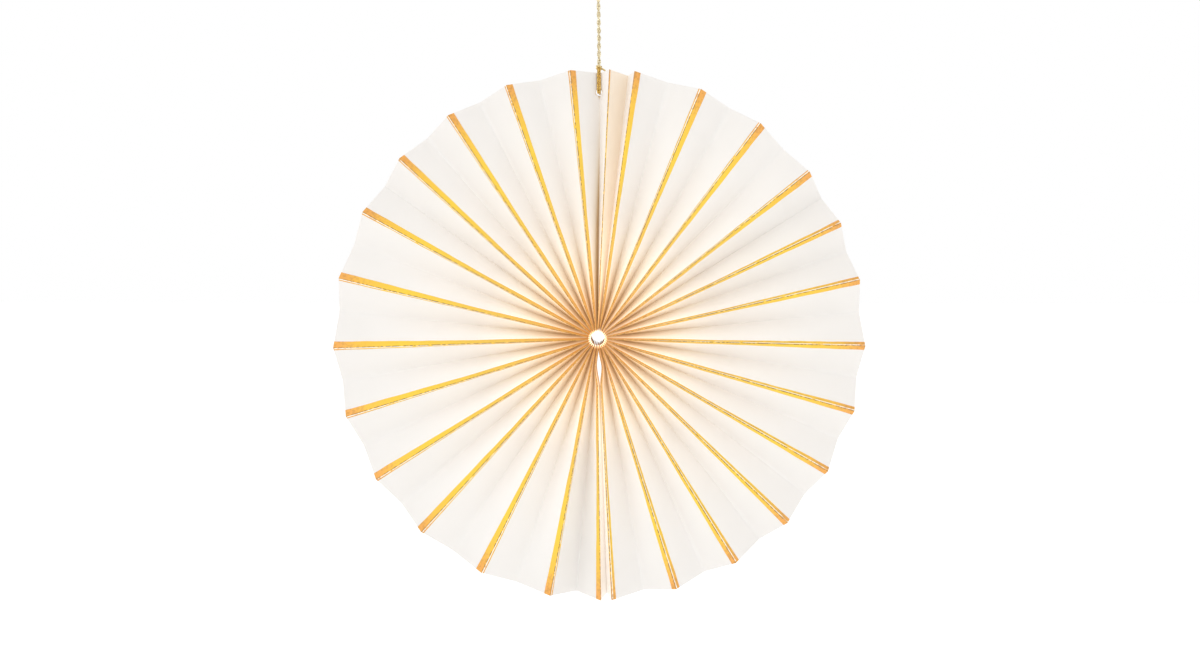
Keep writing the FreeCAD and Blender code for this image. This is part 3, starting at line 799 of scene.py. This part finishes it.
def edge_wander(number, side, station):
    band, edge = number * BAND_SEED, side * SIDE_SEED
    slow = noise.noise(Vector((station / WANDER_LENGTH, band, edge)))
    fine = noise.noise(Vector((station / FINE_LENGTH, band, edge)))
    wander = (slow + FINE_WANDER * fine) * EDGE_WANDER
    return wander * TUCK_WANDER if number == tuck_ridge else wander


def band_section(number, station_number):
    index = 2 + 2 * number
    station = stations[station_number]
    spread = 1 + HUB_SPREAD * max(0, 1 - station / HUB_SPREAD_END)
    left, right = (side * spread for side in band_sides(number))
    left += edge_wander(number, 1, station)
    right += edge_wander(number, 2, station)
    left_places = [left * part for part in BAND_STEPS]
    right_places = [right * part for part in reversed(BAND_STEPS)]
    points = [front_point(index - 1, 1 - place / panel_width, station_number) for place in left_places]
    points += [front_point(index, place / panel_width, station_number) for place in right_places]
    across = [-place for place in left_places] + right_places
    outward = Vector((points[3].x, 0, points[3].z)).normalized()
    lifts = []
    for position in range(len(points)):
        before, after = max(position - 1, 0), min(position + 1, len(points) - 1)
        lifts.append((points[after] - points[before]).cross(outward).normalized())
    outer = [point + lift * BAND_LAYER for point, lift in zip(points, lifts)]
    return outer + list(reversed(points)), across + list(reversed(across))


def gold_bands():
    vertices, faces, from_hub, across_fold = [], [], [], []
    first_station = next(k for k, station in enumerate(stations) if station > HUB + BAND_HUB_INSET)
    for number in range(ridge_count):
        rings = []
        for station_number in range(first_station, len(stations)):
            points, across = band_section(number, station_number)
            rings.append(range(len(vertices), len(vertices) + len(points)))
            vertices += points
            from_hub += [stations[station_number]] * len(points)
            across_fold += across
        for ring, following in zip(rings, rings[1:]):
            for k in range(len(ring)):
                beside = (k + 1) % len(ring)
                faces.append((ring[k], ring[beside], following[beside], following[k]))
        half = len(rings[0]) // 2
        for ring, turned in ((rings[0], False), (rings[-1], True)):
            for k in range(half - 1):
                corners = (ring[k + 1], ring[k], ring[-1 - k], ring[-2 - k])
                faces.append(tuple(reversed(corners)) if turned else corners)
    return vertices, faces, from_hub, across_fold


# The foil's colour from hub to rim: darker and more orange towards the hub as painted shade of the deep
# pleats, and browner at the rim end.
FOIL_TINTS_HUB_SHADE = [
    (4, (0.70, 0.40, 0.11)),
    (25, (0.78, 0.46, 0.10)),
    (50, (0.92, 0.60, 0.08)),
    (112, (0.97, 0.665, 0.062)),
    (136, (0.94, 0.56, 0.07)),
    (147, (0.84, 0.40, 0.09)),
]
# A broken pale line runs beside the fold on its anticlockwise side.
PALE_LINE, PALE_BESIDE_FOLD = (-0.58 * MM, 0.2 * MM, 0.36 * MM), (0.98, 0.95, 0.84)
DARK_LINE, CREASE_BROWN = (-0.1 * MM, 0.1 * MM, 0.28 * MM), (0.33, 0.16, 0.04)
BROWN_EDGE, EDGE_BROWN = (-1.55 * MM, 0.25 * MM, 0.7 * MM), (0.62, 0.33, 0.05)
WORN_BROWN = (0.62, 0.30, 0.07)


def beside_fold(nodes, links, across, middle, core, edge):
    offset = nodes.new("ShaderNodeMath")
    offset.operation = "SUBTRACT"
    offset.inputs[1].default_value = middle
    distance = nodes.new("ShaderNodeMath")
    distance.operation = "ABSOLUTE"
    nearness = nodes.new("ShaderNodeMapRange")
    nearness.inputs["From Min"].default_value = core
    nearness.inputs["From Max"].default_value = edge
    nearness.inputs["To Min"].default_value = 1.0
    nearness.inputs["To Max"].default_value = 0.0
    links.new(across.outputs["Fac"], offset.inputs[0])
    links.new(offset.outputs["Value"], distance.inputs[0])
    links.new(distance.outputs["Value"], nearness.inputs["Value"])
    return nearness


def broken_by(nodes, links, line, specks, low, high):
    breaking = nodes.new("ShaderNodeMapRange")
    breaking.inputs["From Min"].default_value = low
    breaking.inputs["From Max"].default_value = high
    broken = nodes.new("ShaderNodeMath")
    broken.operation = "MULTIPLY"
    links.new(specks.outputs["Fac"], breaking.inputs["Value"])
    links.new(line.outputs["Result"], broken.inputs[0])
    links.new(breaking.outputs["Result"], broken.inputs[1])
    return broken


def tinted_over(nodes, links, under, colour, mask):
    over = nodes.new("ShaderNodeMix")
    over.data_type = "RGBA"
    over.inputs["B"].default_value = (*colour, 1)
    links.new(under, over.inputs["A"])
    links.new(mask.outputs["Value"], over.inputs["Factor"])
    return over.outputs["Result"]


def gold_foil():
    material = bpy.data.materials.new("gold_foil")
    material.use_nodes = True
    nodes, links = material.node_tree.nodes, material.node_tree.links
    surface = nodes["Principled BSDF"]
    surface.inputs["Metallic"].default_value = 0.3
    surface.inputs["Roughness"].default_value = 0.42
    share = radius_share(nodes, links)
    tints = tint_ramp(nodes, FOIL_TINTS_HUB_SHADE)
    place = nodes.new("ShaderNodeTexCoord")
    specks = nodes.new("ShaderNodeTexNoise")
    specks.inputs["Scale"].default_value = 620
    specks.inputs["Detail"].default_value = 2
    patches = nodes.new("ShaderNodeTexNoise")
    patches.inputs["Scale"].default_value = 260
    patches.inputs["Detail"].default_value = 3
    across = nodes.new("ShaderNodeAttribute")
    across.attribute_name = "across_fold"
    pale_line = beside_fold(nodes, links, across, *PALE_LINE)
    dark_line = beside_fold(nodes, links, across, *DARK_LINE)
    brown_edge = beside_fold(nodes, links, across, *BROWN_EDGE)
    rim_end = nodes.new("ShaderNodeMapRange")
    rim_end.inputs["From Min"].default_value = 0.86
    rim_end.inputs["To Max"].default_value = 0.8
    links.new(share.outputs["Result"], rim_end.inputs["Value"])
    pale_parts = broken_by(nodes, links, pale_line, patches, 0.32, 0.45)
    dark_parts = broken_by(nodes, links, dark_line, specks, 0.34, 0.56)
    brown_parts = broken_by(nodes, links, brown_edge, patches, 0.3, 0.75)
    worn_parts = broken_by(nodes, links, rim_end, specks, 0.5, 0.62)
    links.new(share.outputs["Result"], tints.inputs["Fac"])
    links.new(place.outputs["Object"], specks.inputs["Vector"])
    links.new(place.outputs["Object"], patches.inputs["Vector"])
    colour = tinted_over(nodes, links, tints.outputs["Color"], EDGE_BROWN, brown_parts)
    colour = tinted_over(nodes, links, colour, PALE_BESIDE_FOLD, pale_parts)
    colour = tinted_over(nodes, links, colour, CREASE_BROWN, dark_parts)
    colour = tinted_over(nodes, links, colour, WORN_BROWN, worn_parts)
    links.new(colour, surface.inputs["Base Color"])
    relief = nodes.new("ShaderNodeBump")
    relief.inputs["Strength"].default_value = 0.2
    relief.inputs["Distance"].default_value = 0.00004
    links.new(specks.outputs["Fac"], relief.inputs["Height"])
    links.new(relief.outputs["Normal"], surface.inputs["Normal"])
    # Painted glow: near the hub the foil emits its own colour, strongest at the hub and gone 54 mm out.
    painted_glow_fading = nodes.new("ShaderNodeMapRange")
    painted_glow_fading.inputs["From Max"].default_value = 0.36
    painted_glow_fading.inputs["To Min"].default_value = 0.22
    painted_glow_fading.inputs["To Max"].default_value = 0.0
    links.new(share.outputs["Result"], painted_glow_fading.inputs["Value"])
    links.new(tints.outputs["Color"], surface.inputs["Emission Color"])
    links.new(painted_glow_fading.outputs["Result"], surface.inputs["Emission Strength"])
    return material


vertices, faces, from_hub, across_fold = gold_bands()
band_mesh = bpy.data.meshes.new("gold_bands")
band_mesh.from_pydata(vertices, [], faces)
add_attribute(band_mesh, "from_hub", from_hub)
add_attribute(band_mesh, "across_fold", across_fold)
band_mesh.materials.append(gold_foil())
for face in band_mesh.polygons:
    face.use_smooth = True
band_mesh.set_sharp_from_angle(angle=math.radians(FOIL_SHARP_ANGLE))
gold_stripes = bpy.data.objects.new("gold_bands", band_mesh)
bpy.context.scene.collection.objects.link(gold_stripes)
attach(gold_stripes, "root")
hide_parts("gold_stripes")

# The tape between the two end panels at the bottom, from where the slit ends to just short of the rim.
# It is thin clear double-sided tape, a little milky, and only its edges can be seen from behind.
milky_tape = bpy.data.materials.new("milky_tape")
milky_tape.use_nodes = True
tape_surface = milky_tape.node_tree.nodes["Principled BSDF"]
tape_surface.inputs["Roughness"].default_value = 0.3
tape_haze = milky_tape.node_tree.nodes.new("ShaderNodeTexNoise")
tape_haze.inputs["Scale"].default_value = 220
tape_tints = milky_tape.node_tree.nodes.new("ShaderNodeValToRGB")
tape_tints.color_ramp.elements[0].color = (0.78, 0.76, 0.70, 1)
tape_tints.color_ramp.elements[1].color = (0.88, 0.87, 0.83, 1)
milky_tape.node_tree.links.new(tape_haze.outputs["Fac"], tape_tints.inputs["Fac"])
milky_tape.node_tree.links.new(tape_tints.outputs["Color"], tape_surface.inputs["Base Color"])
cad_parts["seam_tape"].data.materials.clear()
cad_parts["seam_tape"].data.materials.append(milky_tape)

# The gathering thread: white cotton sewn through every panel near the inner edge and drawn tight, so
# that the pleats stay packed round the hub.
white_cotton = bpy.data.materials.new("white_cotton")
white_cotton.use_nodes = True
cotton_surface = white_cotton.node_tree.nodes["Principled BSDF"]
cotton_surface.inputs["Roughness"].default_value = 0.85
cotton_twist = white_cotton.node_tree.nodes.new("ShaderNodeTexNoise")
cotton_twist.inputs["Scale"].default_value = 2500
cotton_tints = white_cotton.node_tree.nodes.new("ShaderNodeValToRGB")
cotton_tints.color_ramp.elements[0].color = (0.74, 0.70, 0.62, 1)
cotton_tints.color_ramp.elements[1].color = (0.90, 0.88, 0.84, 1)
white_cotton.node_tree.links.new(cotton_twist.outputs["Fac"], cotton_tints.inputs["Fac"])
white_cotton.node_tree.links.new(cotton_tints.outputs["Color"], cotton_surface.inputs["Base Color"])
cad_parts["gather_thread"].data.materials.clear()
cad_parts["gather_thread"].data.materials.append(white_cotton)

# The stage: a pale floor far below the hanging fan, an even white surround, and one large soft light
# from the upper left that makes the left-facing panels a little brighter.
FLOOR_DROP, FLOOR_HALF = 0.32, 8
floor_mesh = bpy.data.meshes.new("floor")
floor_corners = [(-1, -1), (1, -1), (1, 1), (-1, 1)]
floor_places = [(x * FLOOR_HALF, y * FLOOR_HALF, -FLOOR_DROP) for x, y in floor_corners]
floor_mesh.from_pydata(floor_places, [], [(0, 1, 2, 3)])
floor = bpy.data.objects.new("floor", floor_mesh)
bpy.context.scene.collection.objects.link(floor)
pale_floor = bpy.data.materials.new("pale_floor")
pale_floor.use_nodes = True
floor_surface = pale_floor.node_tree.nodes["Principled BSDF"]
floor_surface.inputs["Base Color"].default_value = (0.9, 0.9, 0.9, 1)
floor_surface.inputs["Roughness"].default_value = 0.9
floor_surface.inputs["Emission Color"].default_value = (1, 1, 1, 1)
floor_surface.inputs["Emission Strength"].default_value = 0.25
floor_mesh.materials.append(pale_floor)

surround = bpy.data.worlds.new("white_surround")
surround.use_nodes = True
surround.node_tree.nodes["Background"].inputs["Color"].default_value = (1, 1, 1, 1)
surround.node_tree.nodes["Background"].inputs["Strength"].default_value = 1.0
bpy.context.scene.world = surround
soft_light = bpy.data.lights.new("soft_light", "AREA")
soft_light.energy = 4
soft_light.size = 1.4
soft_lamp = bpy.data.objects.new("soft_light", soft_light)
soft_lamp.location = (-1.3, -1.5, 1.1)
soft_lamp.rotation_euler = (-soft_lamp.location).to_track_quat("-Z", "Y").to_euler()
bpy.context.scene.collection.objects.link(soft_lamp)
bpy.context.scene.view_settings.view_transform = "Standard"
